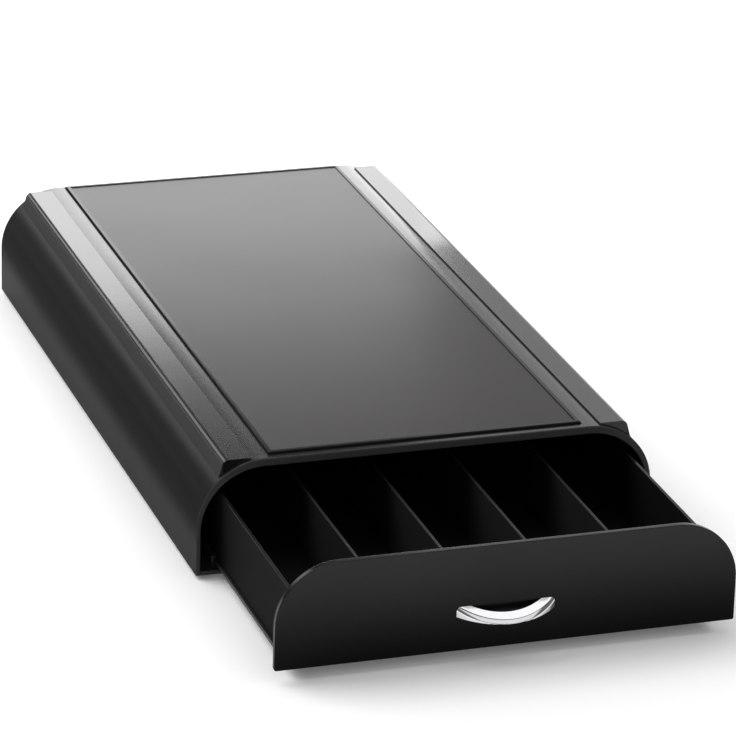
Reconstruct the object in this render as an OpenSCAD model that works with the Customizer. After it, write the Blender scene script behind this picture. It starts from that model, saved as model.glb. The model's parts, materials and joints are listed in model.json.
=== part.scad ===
// Coffee pod drawer: an arch-topped housing with one wide, shallow drawer
// that holds capsules in five front-to-back lanes.
// X runs across, Y runs from front to back and Z is up. All sizes are in millimetres.

/* [Housing] */
// Width of the housing over its side walls
housing_w = 230; // [190:1:280]
// Depth of the housing from front lip to back
housing_d = 400; // [330:1:480]
// Height of the housing, without its feet
housing_h = 57; // [54:0.5:70]
// Outer radius of the two rounded top corners
corner_r = 33; // [27:0.5:40]
// Thickness of the shell's walls
shell_wall = 2.2; // [1.8:0.1:3]
// Height of the front lip under the flat top
lip_h = 4; // [3:0.1:5]
// Depth of the front lip from front to back
lip_d = 3; // [2:0.1:6]
// Thickness of the base plate
base_t = 2; // [1.6:0.1:3]
// Thickness of the back panel
back_t = 2.4; // [2:0.1:4]
// Gap left around a plate that fits inside the shell
plate_gap = 0.15; // [0.05:0.05:0.4]

/* [Side rails] */
// Distance from the housing's side to the rail's inner edge
rail_inset = 27; // [25:0.5:34]
// Distance from the housing's side to the rail's outer ridge
ridge_inset = 12.7; // [11.5:0.1:16]
// Radius of the rail's outer ridge
ridge_r = 3; // [2:0.1:4]
// Height of the rail's flat band above the housing's top
rail_proud = 0.3; // [0.1:0.1:2]
// Height over which the lean of the rail's steep outer face is measured
rail_side_h = 8; // [6:0.5:12]
// How far the rail's steep face leans out over that height
rail_lean = 2.2; // [1:0.1:4]
// Radius of the hollow between the rail's foot and the shell
rail_fillet_r = 4; // [2:0.5:6]
// Distance from the front lip to the rail's front end
rail_front_gap = 2.2; // [1.5:0.1:8]
// Distance from the back to the rail's rear end
rail_rear_gap = 6; // [3:0.5:15]
// Gap between the rail and the shell's round corner
rail_gap = 0.1; // [0.05:0.05:0.3]

/* [Top pad] */
// Distance from the start of the round corner to the pad's side edge
pad_side_gap = 3.2; // [1:0.1:20]
// Distance from the front lip to the pad's front edge
pad_front_gap = 5; // [3:0.5:20]
// Distance from the back to the pad's rear edge
pad_rear_gap = 3; // [2:0.5:20]
// Thickness of the pad
pad_t = 1.8; // [1.2:0.1:3]
// Depth of the recess that the pad lies in
pad_recess = 0.6; // [0.3:0.1:1]
// Gap between the pad's edges and the recess
pad_gap = 0.6; // [0.3:0.1:1.5]

/* [Feet] */
// Radius of a rubber foot
foot_r = 7; // [5:0.5:10]
// Height of a rubber foot
foot_h = 2; // [1.5:0.5:5]
// Distance from the housing's side to a foot's centre
foot_inset_x = 30; // [22:1:40]
// Distance from the housing's front or back to a foot's centre
foot_inset_y = 24; // [16:1:40]

/* [Runners] */
// Thickness of the runner's floor
runner_floor_t = 1; // [0.8:0.1:2]
// Thickness of the runner's upright wall and top lip
runner_wall = 1.2; // [1:0.1:1.6]
// Distance from the front lip to the runner's front end
runner_front_gap = 6; // [4:0.5:15]
// Distance from the back panel to the runner's rear end
runner_rear_gap = 16; // [10:1:30]
// Width of the runner's floor
runner_w = 9; // [7:0.5:14]
// Radius of the pegs that hold the runner in the base plate
peg_r = 1.8; // [1.2:0.1:2.5]
// Number of pegs under a runner
pegs = 4; // [2:1:6]
// Distance from the runner's end to its nearest peg
peg_inset = 30; // [10:1:50]
// Clearance between the runner and the drawer's glide, on each face
glide_gap = 0.3; // [0.2:0.05:0.5]

/* [Drawer] */
// Gap between the shell's inner wall and the tray's side wall
tray_side_gap = 9.6; // [9.5:0.1:16]
// Gap between the tray's top edge and the round corner of the front lip
tray_corner_gap = 2.8; // [1:0.1:6]
// Thickness of the tray's walls
tray_wall = 1.8; // [1.4:0.1:2.5]
// Thickness of the tray's floor
tray_floor_t = 1.8; // [1.4:0.1:2.5]
// Gap between the closed tray and the back panel
tray_rear_gap = 2; // [1:0.5:10]
// Thickness of a divider
divider_t = 1.6; // [1.2:0.1:2.4]
// Distance from the tray's top edge down to a divider's top edge
divider_drop = 1.8; // [0:0.1:8]
// Gap around a divider in its slots
divider_gap = 0.15; // [0.1:0.05:0.3]
// Width and depth of a rib beside a divider's end
slot_rib = 1.5; // [1.2:0.1:2]
// Distance from a divider's top edge down to the ribs' top ends
rib_drop = 4; // [1:0.5:10]
// Height of the glide strip's ledge
ledge_h = 2; // [1.5:0.1:3]
// How far the glide strip's ledge stands out from the tray
ledge_w = 1.2; // [0.8:0.1:1.6]
// Thickness of the glide strip under the tray
glide_t = 1; // [0.8:0.1:2]
// Width of the glide strip under the tray
glide_w = 6; // [4:0.5:8]
// Distance that the drawer stands open at rest
drawer_open = 114; // [0:1:150]
// Distance that the drawer travels from closed to fully open
drawer_travel = 285; // [220:1:290]

/* [Drawer front] */
// Distance from the housing's side to the front panel's side edge
front_side_inset = 3.4; // [0:0.1:6]
// Distance from the housing's top down to the front panel's top edge
front_top_inset = 1.9; // [0:0.1:3]
// Height of the front panel's bottom edge above the housing's underside
front_bottom = 4; // [2.5:0.1:8]
// How much smaller the front panel's corner radius is than the housing's
front_corner_step = 2.9; // [0:0.1:4]
// Thickness of the front panel
front_t = 3; // [2.6:0.1:5]
// Gap between the closed front panel and the front lip
front_gap = 0.5; // [0.3:0.1:2]

/* [Handle] */
// Width of the handle over its two feet
handle_span = 47.7; // [42:0.1:60]
// Width of each of the handle's feet on the panel
handle_foot_w = 6.9; // [6:0.1:8]
// Height of each of the handle's feet on the panel
handle_foot_h = 5; // [4.8:0.1:7]
// How far the handle reaches out from the panel
handle_reach = 9.5; // [8:0.1:12]
// Gap between the panel and the middle of the handle
handle_gap = 4.6; // [4.3:0.1:5.5]
// Angle by which the handle's top face falls towards the front
handle_top_slope = 27; // [10:1:30]
// Angle by which the handle's bottom face falls towards the front
handle_bottom_slope = 11; // [0:1:15]
// Height of the top of the handle's feet above the housing's underside
handle_top = 26.1; // [22:0.1:40]
// Distance of the handle's middle to the right of the front panel's middle
handle_offset = -1.7; // [-20:0.1:20]
// Depth of the handle's screws in the handle
handle_screw_bite = 2.2; // [1.8:0.1:2.4]

/* [Screws] */
// Radius of a screw's shank
screw_r = 1.3; // [1:0.1:1.5]
// Radius of a countersunk screw's head
csk_head_r = 2.4; // [2:0.1:2.6]
// Depth of a countersunk screw's head
csk_head_t = 1.2; // [1:0.1:1.6]
// Radius of the handle screws' pan heads
pan_head_r = 2.5; // [2:0.1:3]
// Thickness of a pan head
pan_head_t = 1.4; // [1:0.1:1.6]
// Radius of the front screws' flanged heads
flange_head_r = 4.4; // [4:0.1:5]
// Clearance between a screw's shank and the hole that it bites in
screw_gap = 0.05; // [0.02:0.01:0.1]
// Clearance around a screw's shank, boss or pan head in the piece that it clamps
loose_gap = 0.2; // [0.1:0.05:0.3]
// Length of a countersunk screw
screw_len = 12; // [10:1:14]
// Radius of a screw boss in the shell
boss_r = 3.3; // [2.8:0.1:3.4]
// Height of a screw boss in the shell
boss_h = 14; // [12:1:18]
// Number of base screws along each side
base_screws_per_side = 4; // [3:1:6]
// Distance from the housing's front or back to the nearest base screw
base_screw_inset = 26; // [22:1:40]
// Height of the lower back screws above the base plate
back_low_rise = 8; // [6:0.5:12]
// Height of the front screws above the tray's floor
front_screw_rise = 16; // [8:0.5:22]
// Radius of the bosses on the front panel's back
front_boss_r = 3.2; // [2.8:0.1:3.6]
// Thickness of panel left in front of a front screw
front_screw_skin = 1; // [0.8:0.1:1.5]

/* [Drawer stops] */
// Distance of a drawer stop from the middle
stop_x = 60; // [40:1:75]
// Width of a drawer stop and of its tab on the tray
stop_w = 12; // [8:1:20]
// Thickness of a drawer stop
stop_t = 3; // [2:0.5:5]
// Height by which a stop and its tab overlap
stop_overlap = 3; // [2:0.5:4]
// Gap between a stop and its tab when the drawer is fully open
stop_gap = 0.5; // [0.3:0.1:1]
// Gap between a drawer stop and the tray's walls below it
stop_clearance = 3.5; // [2:0.5:6]

/* [Hidden] */
$fn = 96;

// How far a cut runs past a face, and how deep a fused shape runs into its neighbour
eps = 0.5;
weld = 1;

// Cross recess of every screw head: length, width and depth
slot_len = 2.8;
slot_w = 0.6;
slot_depth = 0.8;

// Extra depth of a blind screw hole, and depth of a pan head below its face
hole_spare = 0.3;
head_sink = 0.1;

// Number of lanes across the tray
lanes = 5;

// Number of flats around a rail's ridge
ridge_steps = 15;

// Places of the parts of the frame
half_w = housing_w / 2;
inner_half_w = half_w - shell_wall;
ceiling_z = housing_h - shell_wall;
inner_r = corner_r - shell_wall;
back_inner_y = housing_d - back_t;
front_y = (drawer_open + front_gap + front_t + handle_reach - housing_d) / 2;
pad_half_w = half_w - corner_r - pad_side_gap;
pad_z = housing_h - pad_recess;

// Places of the drawer, with the front lip at y = 0 and the drawer closed
tray_half_w = inner_half_w - tray_side_gap;
runner_z = base_t + runner_floor_t;
glide_z = runner_z + glide_gap;
tray_z = glide_z + glide_t;
lip_axis_z = housing_h - lip_h - inner_r;
tray_top = lip_axis_z + sqrt(pow(inner_r - tray_corner_gap, 2) - pow(tray_half_w - half_w + corner_r, 2));
tray_floor_top = tray_z + tray_floor_t;
divider_top = tray_top - divider_drop;
tray_front_y = -front_gap;
tray_back_y = back_inner_y - tray_rear_gap;
ledge_x = tray_half_w + ledge_w;
lane_pitch = (2 * (tray_half_w - tray_wall) + divider_t) / lanes;

// Front panel and handle
front_w = housing_w - 2 * front_side_inset;
front_top = housing_h - front_top_inset;
front_r = corner_r - front_corner_step;
panel_y = tray_front_y - front_t;
half_span = handle_span / 2;
handle_outer_r = (half_span * half_span + handle_reach * handle_reach) / (2 * handle_reach);
handle_outer_y = handle_outer_r - handle_reach;
handle_inner_x = half_span - handle_foot_w;
handle_inner_r = (handle_inner_x * handle_inner_x + handle_gap * handle_gap) / (2 * handle_gap);
handle_inner_y = handle_inner_r - handle_gap;

// Places of the screws
boss_x = inner_half_w - boss_r + loose_gap;
base_screw_pitch = (housing_d - 2 * base_screw_inset) / (base_screws_per_side - 1);
back_boss_reach = inner_r - boss_r + 3 * loose_gap;
back_boss_angle = 60;
back_top_x = half_w - corner_r + back_boss_reach * cos(back_boss_angle);
back_top_z = housing_h - corner_r + back_boss_reach * sin(back_boss_angle);
back_low_z = base_t + back_low_rise;
front_screw_z = tray_floor_top + front_screw_rise;
front_screw_len = tray_wall + front_t - front_screw_skin;
handle_screw_x = (handle_inner_x + sqrt(pow(handle_outer_r, 2) - pow(handle_outer_y + handle_screw_bite, 2))) / 2;
handle_head_y = front_t - pan_head_t - head_sink;
handle_screw_z = handle_top - (handle_foot_h + handle_screw_bite * tan(handle_top_slope)) / 2;

// Places of the drawer stops
stop_low = tray_top + stop_clearance;
stop_y = tray_back_y - drawer_travel - tray_wall - stop_gap - stop_t;
tab_top = stop_low + stop_overlap;

// Puts housing coordinates (front lip at y = 0, underside at z = 0) into the part's own frame
module on_housing() {
    translate([0, front_y, foot_h]) children();
}

// Puts closed-drawer coordinates into the part's own frame, at the rest opening
module on_drawer() {
    on_housing() translate([0, -drawer_open, 0]) children();
}

// Repeats a right-hand shape on both sides
module both_sides() {
    children();
    mirror([1, 0, 0]) children();
}

// Extrudes an outline drawn in X and Z from y = y0 to y = y1
module along_y(y0, y1) {
    translate([0, y1, 0]) rotate([90, 0, 0]) linear_extrude(y1 - y0) children();
}

// Arch outline: straight sides from z0 up, a flat top at z1 and round corners
module arch(w, z0, z1, r) {
    intersection() {
        union() {
            translate([-w / 2, z0]) square([w, z1 - r - z0]);
            translate([-w / 2 + r, z0]) square([w - 2 * r, z1 - z0]);
            for (side = [-1, 1]) translate([side * (w / 2 - r), z1 - r]) circle(r);
        }
        translate([-w, z0]) square([2 * w, z1 - z0 + r]);
    }
}

// Cylinder along Y from y = y0 to y = y1
module rod_y(x, z, r, y0, y1) {
    translate([x, y1, z]) rotate([90, 0, 0]) cylinder(r = r, h = y1 - y0);
}

// Box with its corners at the two points given
module block(low, high) {
    translate(low) cube(high - low);
}

// Cross recess of a screw head whose face is at z = 0
module cross_slot() {
    for (turn = [0, 90]) rotate(turn)
        translate([-slot_len / 2, -slot_w / 2, -eps]) cube([slot_len, slot_w, slot_depth + eps]);
}

// Countersunk screw with its head's face at z = 0 and its shank along +Z
module csk_screw() {
    difference() {
        union() {
            cylinder(r1 = csk_head_r, r2 = screw_r, h = csk_head_t);
            cylinder(r = screw_r, h = screw_len);
        }
        cross_slot();
    }
}

// Hole for a countersunk screw through a plate of thickness t
module csk_hole(t) {
    translate([0, 0, -eps]) cylinder(r = screw_r + loose_gap, h = t + 2 * eps);
    cylinder(r1 = csk_head_r, r2 = screw_r, h = csk_head_t);
}

// Blind hole that a countersunk screw bites in
module csk_bite() {
    cylinder(r = screw_r + screw_gap, h = screw_len + hole_spare);
}

// Pan-head screw with its head's underside at z = 0 and its shank along +Z
module pan_screw(head_r, length) {
    difference() {
        union() {
            translate([0, 0, -pan_head_t]) cylinder(r = head_r, h = pan_head_t);
            cylinder(r = screw_r, h = length);
        }
        translate([0, 0, -pan_head_t]) cross_slot();
    }
}

// Places of the base screws, on the right-hand side
module base_screw_places() {
    for (i = [0 : base_screws_per_side - 1])
        translate([boss_x, base_screw_inset + i * base_screw_pitch, 0]) children();
}

// Places of the back screws, with +Z of each child pointing forwards
module back_screw_places() {
    both_sides() for (place = [[back_top_x, back_top_z], [boss_x, back_low_z]])
        translate([place[0], housing_d, place[1]]) rotate([90, 0, 0]) children();
}

// Places of the pegs under a runner, on the right-hand side
module peg_places() {
    first = runner_front_gap + peg_inset;
    last = back_inner_y - runner_rear_gap - peg_inset;
    x = ledge_x + glide_gap + runner_wall - runner_w / 2;
    for (i = [0 : pegs - 1]) translate([x, first + i * (last - first) / (pegs - 1), 0]) children();
}

module housing_shell() {
    color("#1c1c1e") on_housing() difference() {
        union() {
            difference() {
                along_y(0, housing_d) arch(housing_w, 0, housing_h, corner_r);
                along_y(lip_d, housing_d + eps) arch(2 * inner_half_w, -eps, ceiling_z, inner_r);
                along_y(-eps, lip_d + eps) arch(2 * inner_half_w, -eps, housing_h - lip_h, inner_r);
            }
            both_sides() base_screw_places() translate([0, 0, base_t]) cylinder(r = boss_r, h = boss_h);
            intersection() {
                back_screw_places() translate([0, 0, back_t]) cylinder(r = boss_r, h = boss_h);
                along_y(0, housing_d) arch(housing_w, 0, housing_h, corner_r);
            }
            both_sides() block([stop_x - stop_w / 2, stop_y, stop_low],
                               [stop_x + stop_w / 2, stop_y + stop_t, ceiling_z + weld]);
        }
        both_sides() base_screw_places() csk_bite();
        back_screw_places() csk_bite();
        block([-pad_half_w - pad_gap, pad_front_gap - pad_gap, pad_z],
              [pad_half_w + pad_gap, housing_d - pad_rear_gap + pad_gap, housing_h + eps]);
    }
}

// Right-hand rail: a squared shoulder over the shell's round corner
module side_rail() {
    axis = [half_w - corner_r, housing_h - corner_r];
    top = housing_h + rail_proud;
    ridge = [half_w - ridge_inset - ridge_r, top - ridge_r];
    slope = [rail_lean, -rail_side_h];
    run = slope / norm(slope);
    out = [-run[1], run[0]];
    start = ridge + (ridge_r + rail_fillet_r) * out - axis;
    reach = corner_r + rail_fillet_r;
    along = -(start * run) - sqrt(pow(start * run, 2) - start * start + reach * reach);
    hollow = axis + start + run * along;
    touch_side = hollow - rail_fillet_r * out;
    touch_shell = axis + (hollow - axis) * corner_r / reach;
    inner_x = half_w - rail_inset;
    side_angle = atan2(out[1], out[0]);
    turn = (90 - side_angle) / ridge_steps;
    round_ridge = [for (i = [0 : ridge_steps])
        ridge + ridge_r * [cos(90 - i * turn), sin(90 - i * turn)]];
    on_housing() difference() {
        along_y(rail_front_gap, housing_d - rail_rear_gap)
            polygon(concat([[inner_x, axis[1]], [inner_x, top]], round_ridge, [touch_side, touch_shell]));
        rod_y(axis[0], axis[1], corner_r + rail_gap, 0, housing_d);
        rod_y(hollow[0], hollow[1], rail_fillet_r, 0, housing_d);
        block([0, 0, 0], [axis[0], housing_d, housing_h + rail_gap]);
    }
}

module left_side_rail() {
    color("#232325") mirror([1, 0, 0]) side_rail();
}

module right_side_rail() {
    color("#232325") side_rail();
}

module top_pad() {
    color("#4a4745") on_housing()
        block([-pad_half_w, pad_front_gap, pad_z], [pad_half_w, housing_d - pad_rear_gap, pad_z + pad_t]);
}

module base_plate() {
    color("#18181a") on_housing() difference() {
        block([-inner_half_w + plate_gap, 0, 0], [inner_half_w - plate_gap, housing_d, base_t]);
        both_sides() base_screw_places() csk_hole(base_t);
        both_sides() peg_places()
            translate([0, 0, -eps]) cylinder(r = peg_r + screw_gap, h = base_t + 2 * eps);
    }
}

module back_panel() {
    inset = shell_wall + plate_gap;
    color("#18181a") on_housing() difference() {
        along_y(back_inner_y, housing_d)
            arch(housing_w - 2 * inset, base_t, housing_h - inset, corner_r - inset);
        back_screw_places() csk_hole(back_t);
    }
}

// Right-hand runner: a channel that holds the glide's ledge down and sideways
module runner() {
    inner_x = ledge_x + glide_gap;
    outer_x = inner_x + runner_wall;
    lip_z = glide_z + ledge_h + glide_gap;
    edge_x = outer_x - runner_w;
    on_housing() {
        along_y(runner_front_gap, back_inner_y - runner_rear_gap) difference() {
            translate([edge_x, base_t]) square([runner_w, lip_z + runner_wall - base_t]);
            translate([edge_x - eps, runner_z]) square([inner_x - edge_x + eps, lip_z - runner_z]);
            translate([edge_x - eps, lip_z - eps])
                square([tray_half_w + glide_gap - edge_x + eps, runner_wall + 2 * eps]);
        }
        peg_places() cylinder(r = peg_r, h = runner_z);
    }
}

module left_runner() {
    color("#3a3a3d") mirror([1, 0, 0]) runner();
}

module right_runner() {
    color("#3a3a3d") runner();
}

module foot(side, y) {
    color("#101010") on_housing() translate([side * (half_w - foot_inset_x), y, -foot_h])
        cylinder(r = foot_r, h = foot_h);
}

module base_screws() {
    color("silver") on_housing() both_sides() base_screw_places() csk_screw();
}

module back_screws() {
    color("silver") on_housing() back_screw_places() csk_screw();
}

// Places of the screws that hold the front panel, with +Z of each child pointing forwards
module front_screw_places() {
    for (lane = [-2, -1, 1, 2])
        translate([lane * lane_pitch, tray_front_y + tray_wall, front_screw_z])
            rotate([90, 0, 0]) children();
}

// Places of the handle's screws, where the handle meets the front panel
module handle_screw_places() {
    for (side = [-1, 1])
        translate([handle_offset + side * handle_screw_x, panel_y, handle_screw_z]) children();
}

// Centre line of divider number i, which counts from 1 on the left
function divider_x(i) = (i - lanes / 2) * lane_pitch;

module drawer_tray() {
    inner = tray_half_w - tray_wall;
    front = tray_front_y + tray_wall;
    back = tray_back_y - tray_wall;
    rib_off = divider_t / 2 + divider_gap;
    color("#202022") on_drawer() difference() {
        union() {
            difference() {
                block([-tray_half_w, tray_front_y, tray_z], [tray_half_w, tray_back_y, tray_top]);
                block([-inner, front, tray_floor_top], [inner, back, tray_top + eps]);
            }
            for (i = [1 : lanes - 1], side = [-1, 1], end = [0, 1]) {
                x = divider_x(i) + side * (rib_off + slot_rib / 2);
                y = end == 0 ? front : back - slot_rib;
                block([x - slot_rib / 2, y - (1 - end) * eps, tray_floor_top - weld],
                      [x + slot_rib / 2, y + slot_rib + end * eps, divider_top - rib_drop]);
            }
            both_sides() block([stop_x - stop_w / 2, back, tray_top - weld],
                               [stop_x + stop_w / 2, tray_back_y, tab_top]);
        }
        front_screw_places()
            translate([0, 0, -eps]) cylinder(r = front_boss_r + screw_gap, h = tray_wall + 2 * eps);
    }
}

module drawer_front() {
    boss_len = tray_wall - loose_gap + weld;
    color("#262628") on_drawer() difference() {
        union() {
            along_y(panel_y, tray_front_y) arch(front_w, front_bottom, front_top, front_r);
            front_screw_places()
                translate([0, 0, loose_gap]) cylinder(r = front_boss_r, h = boss_len);
        }
        front_screw_places() cylinder(r = screw_r + screw_gap, h = front_screw_len + hole_spare);
        handle_screw_places() {
            rod_y(0, 0, screw_r + loose_gap, -eps, front_t);
            rod_y(0, 0, pan_head_r + loose_gap, handle_head_y, front_t + eps);
        }
    }
}

module divider(i) {
    x = divider_x(i) - divider_t / 2;
    inset = tray_wall + divider_gap;
    color("#2a2a2c") on_drawer()
        block([x, tray_front_y + inset, tray_floor_top],
              [x + divider_t, tray_back_y - inset, divider_top]);
}

// Right-hand glide strip: an angle under and beside the tray's bottom edge
module glide() {
    on_drawer() along_y(tray_front_y, tray_back_y) {
        translate([tray_half_w - glide_w, glide_z]) square([glide_w + ledge_w, glide_t]);
        translate([tray_half_w, glide_z]) square([ledge_w, ledge_h]);
    }
}

module left_glide() {
    color("#303033") mirror([1, 0, 0]) glide();
}

module right_glide() {
    color("#303033") glide();
}

// Bow handle's outline from above: a crescent between two circles, cut off flat at the panel
module handle_crescent() {
    difference() {
        translate([0, handle_outer_y]) circle(handle_outer_r);
        translate([0, handle_inner_y]) circle(handle_inner_r);
        translate([-2 * handle_outer_r, 0]) square(4 * handle_outer_r);
    }
}

// Bow handle's profile from the side: its top and bottom fall towards the front
module handle_profile() {
    reach = handle_reach + hole_spare;
    polygon([
        [0, handle_top], [-reach, handle_top - reach * tan(handle_top_slope)],
        [-reach, handle_top - handle_foot_h - reach * tan(handle_bottom_slope)], [0, handle_top - handle_foot_h]
    ]);
}

module handle() {
    color("#d8d8da") on_drawer() difference() {
        intersection() {
            translate([handle_offset, panel_y, 0]) linear_extrude(handle_top) handle_crescent();
            translate([handle_offset - handle_span, panel_y, 0]) rotate([90, 0, 90])
                linear_extrude(2 * handle_span) handle_profile();
        }
        handle_screw_places() rod_y(0, 0, screw_r + screw_gap, -handle_screw_bite - hole_spare, eps);
    }
}

// Handle screws, whose heads lie in pockets in the front panel's back
module handle_screws() {
    color("silver") on_drawer() handle_screw_places() translate([0, handle_head_y, 0])
        rotate([90, 0, 0]) pan_screw(pan_head_r, handle_head_y + handle_screw_bite);
}

module front_screws() {
    color("silver") on_drawer() front_screw_places() pan_screw(flange_head_r, front_screw_len);
}

housing_shell();
left_side_rail();
right_side_rail();
top_pad();
base_plate();
back_panel();
left_runner();
right_runner();
foot(-1, foot_inset_y);  // foot_front_left
foot(1, foot_inset_y);  // foot_front_right
foot(-1, housing_d - foot_inset_y);  // foot_rear_left
foot(1, housing_d - foot_inset_y);  // foot_rear_right
base_screws();
back_screws();
drawer_tray();
drawer_front();
divider(1);  // divider_1
divider(2);  // divider_2
divider(3);  // divider_3
divider(4);  // divider_4
left_glide();
right_glide();
handle();
handle_screws();
front_screws();
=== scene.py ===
# %% [markdown]
# # A coffee pod drawer
#
# A low housing of satin black plastic carries a coffee machine on its flat top. Under the top, one wide
# drawer with five lanes holds the capsules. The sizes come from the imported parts, so every piece that is
# modelled here takes the place of one of them. All lengths are in metres, X runs across the front, Y runs
# from front to back and Z is up.

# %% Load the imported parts
import json
import math

import bmesh
import bpy
from mathutils import Matrix, Vector


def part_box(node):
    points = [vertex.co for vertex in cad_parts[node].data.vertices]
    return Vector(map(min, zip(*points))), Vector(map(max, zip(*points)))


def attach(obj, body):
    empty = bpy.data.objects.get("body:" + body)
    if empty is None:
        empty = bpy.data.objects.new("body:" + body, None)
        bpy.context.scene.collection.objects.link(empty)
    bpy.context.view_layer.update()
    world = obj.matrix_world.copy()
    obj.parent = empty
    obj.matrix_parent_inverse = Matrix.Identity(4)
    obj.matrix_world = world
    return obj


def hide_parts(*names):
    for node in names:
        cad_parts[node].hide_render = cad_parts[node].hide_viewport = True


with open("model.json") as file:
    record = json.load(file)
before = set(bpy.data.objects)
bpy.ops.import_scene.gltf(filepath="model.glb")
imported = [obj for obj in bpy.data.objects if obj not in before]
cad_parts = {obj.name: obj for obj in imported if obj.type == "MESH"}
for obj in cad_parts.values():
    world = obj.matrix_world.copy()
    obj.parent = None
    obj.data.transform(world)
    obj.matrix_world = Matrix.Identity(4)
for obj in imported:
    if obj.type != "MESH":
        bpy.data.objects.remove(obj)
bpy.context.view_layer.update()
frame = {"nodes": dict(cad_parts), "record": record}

# %% [markdown]
# Small lengths are easier to read in millimetres, so the values below are written as `33 * MM`. The places
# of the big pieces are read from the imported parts, because a piece that is 1 mm off would show a gap.

# %% Sizes and places
MM = 0.001

shell_low, shell_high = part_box("housing_shell")
pad_low, pad_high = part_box("top_pad")
tray_low, tray_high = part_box("drawer_tray")
panel_low, panel_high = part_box("drawer_front")
handle_low, handle_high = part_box("handle")

HALF_WIDTH = shell_high.x
UNDERSIDE = shell_low.z
LIP_Y = shell_low.y
BACK_Y = shell_high.y
TOP = shell_high.z
CORNER_R = 33 * MM
WALL = 2.2 * MM
print("housing", [round(s / MM, 1) for s in shell_high - shell_low], "mm")

# %% [markdown]
# ## The camera
#
# A long lens keeps the depth calm, as in a catalogue. The camera stands in front and to the left, about two
# metres away, and looks down at 22 degrees. Its turn is written as three directions: right, up and back. Only
# the lens and its sensor are in millimetres.

# %% Camera
SENSOR_WIDTH = 36
FOCAL_LENGTH = 209.295
NEAREST = 0.05
FARTHEST = 100

camera_data = bpy.data.cameras.new("camera")
camera_data.sensor_width = SENSOR_WIDTH
camera_data.lens = FOCAL_LENGTH
camera_data.clip_start = NEAREST
camera_data.clip_end = FARTHEST
camera = bpy.data.objects.new("camera", camera_data)
bpy.context.scene.collection.objects.link(camera)
camera_right = Vector((0.95146348, -0.30656414, 0.02712316))
camera_up = Vector((0.08884803, 0.35798821, 0.92948936))
camera_back = Vector((-0.29465788, -0.88196534, 0.36785033))
camera_turn = Matrix((camera_right, camera_up, camera_back)).transposed()
camera_place = Vector((-0.626711, -1.916354, 0.842665))
camera.matrix_world = Matrix.Translation(camera_place) @ camera_turn.to_4x4()
bpy.context.scene.camera = camera
print("camera at", [round(v, 3) for v in camera.location])

# %% [markdown]
# ## Helpers for modelling
#
# Every piece starts as a primitive. An operator acts on all that is selected, so each helper first selects
# only what it works on. Faces and edges are picked by their place, because there is no mouse here.

# %% Selecting
def use(obj):
    """Makes obj the only selected object and the active one."""
    bpy.ops.object.select_all(action="DESELECT")
    obj.select_set(True)
    bpy.context.view_layer.objects.active = obj
    return obj


def edit(obj):
    """Opens obj in edit mode with nothing selected."""
    use(obj)
    bpy.ops.object.mode_set(mode="EDIT")
    bpy.ops.mesh.select_all(action="DESELECT")


def done():
    """Leaves edit mode and returns the piece."""
    bpy.ops.object.mode_set(mode="OBJECT")
    return bpy.context.object


def pick(kind, test):
    """In edit mode, selects the faces, edges or corners whose place and direction pass the test."""
    bpy.ops.mesh.select_mode(type=kind)
    bpy.ops.mesh.select_all(action="DESELECT")
    mesh = bmesh.from_edit_mesh(bpy.context.object.data)
    if kind == "FACE":
        found = [f for f in mesh.faces if test(f.calc_center_median(), f.normal)]
    elif kind == "EDGE":
        ends = [(e, e.verts[0].co, e.verts[1].co) for e in mesh.edges]
        found = [e for e, a, b in ends if test((a + b) / 2, (b - a).normalized())]
    else:
        found = [v for v in mesh.verts if test(v.co, v.normal)]
    for item in found:
        item.select_set(True)
    bmesh.update_edit_mesh(bpy.context.object.data)


def near(a, b, gap=0.01 * MM):
    """True if two lengths are the same."""
    return abs(a - b) < gap


# %% [markdown]
# The next helpers add the primitives at their real size and place. `arch_block` is the outline that this
# object repeats: a block whose two top corners are quarter rounds. By hand that is a cube with its two top
# edges bevelled, and so it is here.

# %% Primitives at their size and place
def block(name, low, high):
    """A cube stretched between two corners."""
    bpy.ops.object.select_all(action="DESELECT")
    low, high = Vector(low), Vector(high)
    bpy.ops.mesh.primitive_cube_add(size=1, location=(low + high) / 2, scale=high - low)
    bpy.ops.object.transform_apply(location=True, rotation=True, scale=True)
    obj = bpy.context.object
    obj.name = name
    return obj


def rod(name, centre, radius, length, turn=(0, 0, 0), sides=48, end_radius=None):
    """A cylinder, or a cone with end_radius at its far end, around the given centre."""
    bpy.ops.object.select_all(action="DESELECT")
    far_radius = radius if end_radius is None else end_radius
    bpy.ops.mesh.primitive_cone_add(vertices=sides, radius1=radius, radius2=far_radius, depth=length,
                                    location=centre, rotation=turn)
    bpy.ops.object.transform_apply(location=True, rotation=True, scale=True)
    obj = bpy.context.object
    obj.name = name
    return obj


ALONG_Y = (math.pi / 2, 0, 0)


def rod_y(name, x, z, radius, y0, y1, sides=48, end_radius=None):
    """A rod from y0 to y1. A cone's end_radius is at y0."""
    return rod(name, (x, (y0 + y1) / 2, z), radius, y1 - y0, ALONG_Y, sides, end_radius)


def bevel(radius, steps=3, kind="EDGES"):
    """Rounds what is selected in edit mode."""
    bpy.ops.mesh.bevel(offset_type="OFFSET", offset=radius, segments=steps, profile=0.5,
                       affect=kind, clamp_overlap=True)


def arch_block(name, half_width, low_z, high_z, radius, y0, y1, steps=32):
    """A block with its two top corners rounded along its depth."""
    obj = block(name, (-half_width, y0, low_z), (half_width, y1, high_z))
    edit(obj)
    pick("EDGE", lambda p, d: abs(d.y) > 0.9 and near(p.z, high_z))
    bevel(radius, steps)
    return done()


# %% [markdown]
# Holes and pockets are cut with a Boolean modifier, and bosses are joined with one. Real plastic has no
# razor-sharp edge, so `soften` rounds every edge by a few tenths of a millimetre. That thin highlight is
# what makes an edge look real. Weighted normals then keep the big faces flat beside those small rounds.

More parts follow.
